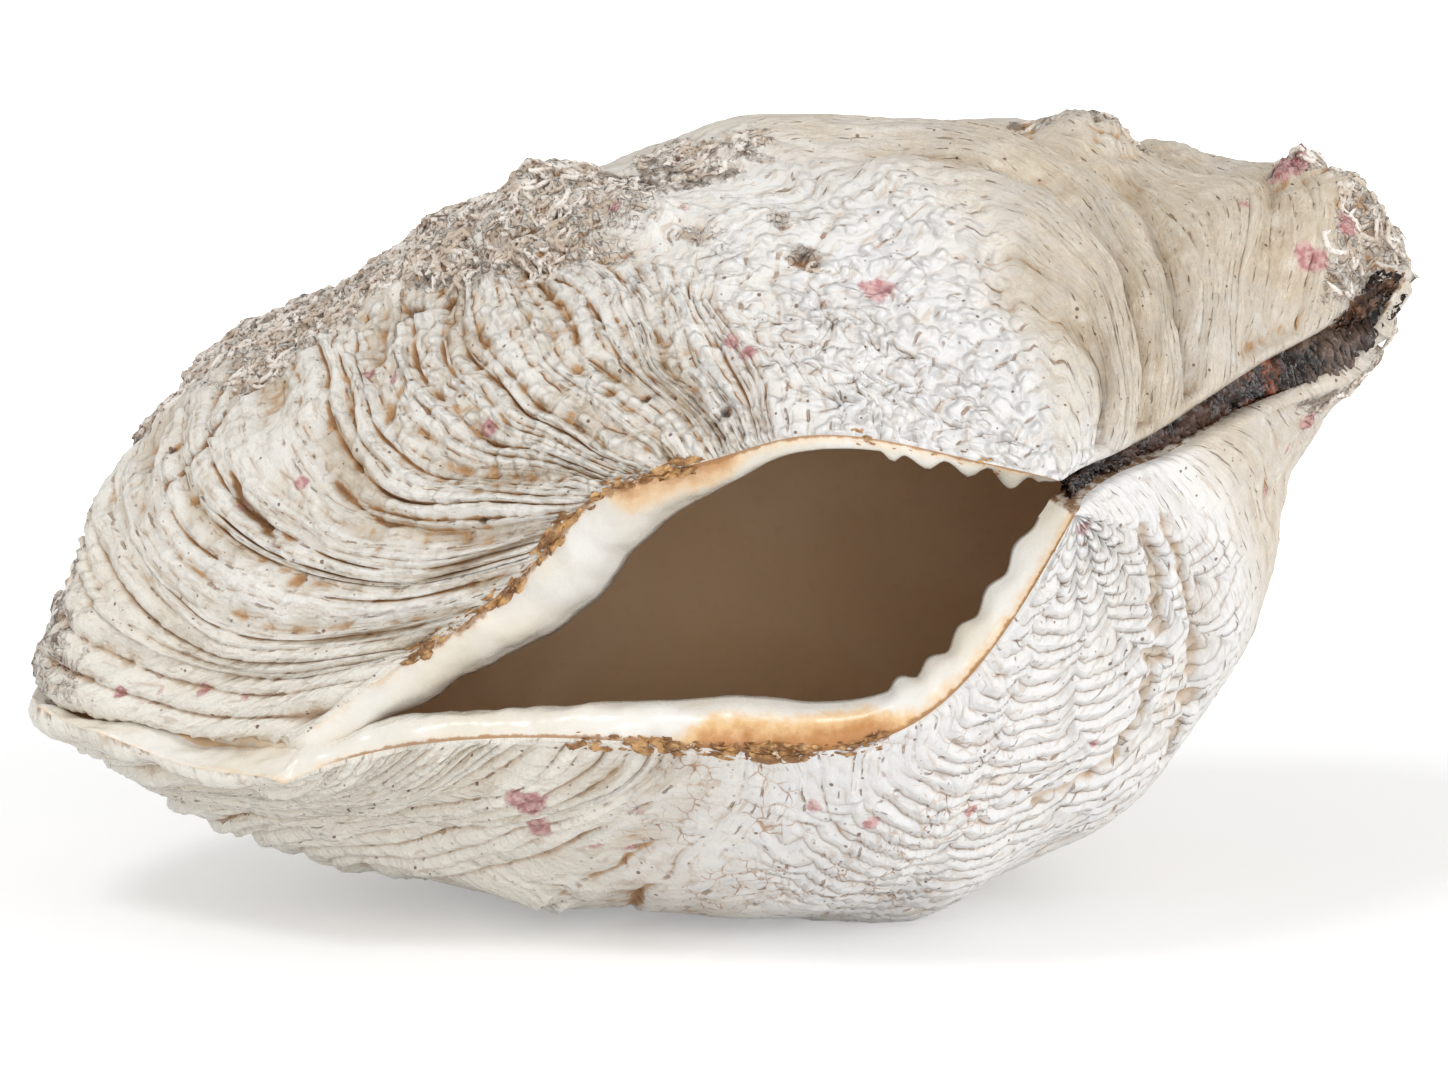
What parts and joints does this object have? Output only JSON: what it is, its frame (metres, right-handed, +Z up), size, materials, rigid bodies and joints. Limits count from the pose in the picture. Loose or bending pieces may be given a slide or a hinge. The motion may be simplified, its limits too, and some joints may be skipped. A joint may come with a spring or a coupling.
{
  "type": "giant clam shell",
  "caption": "Whole fluted giant clam shell: two closed valves held by their ligament, lying on the lower valve with the gape open to the front.",
  "frame": {"origin": "middle of the bounding box, on the surface the shell lies on", "axes": "+X along the shell's length towards the far end of the hinge, -Y towards the gape and the hinge, +Z up"},
  "size_m": [0.2, 0.1206, 0.1131],
  "materials": {
    "upper_valve": "chalky white to beige, finely ridged, with worm-like crust and brown dirt in the grooves; porcelain white at the lip and dull inside",
    "lower_valve": "chalky white, wavy ridges and scales, brown lines in the cracks; porcelain white lip stained orange-tan",
    "ligament": "dark brown, glossy, cracked, with amber flakes and grey-brown fibres"
  },
  "bodies": {
    "root": {"upper_valve": "upper_valve", "lower_valve": "lower_valve", "ligament": "ligament"}
  },
  "joints": []
}
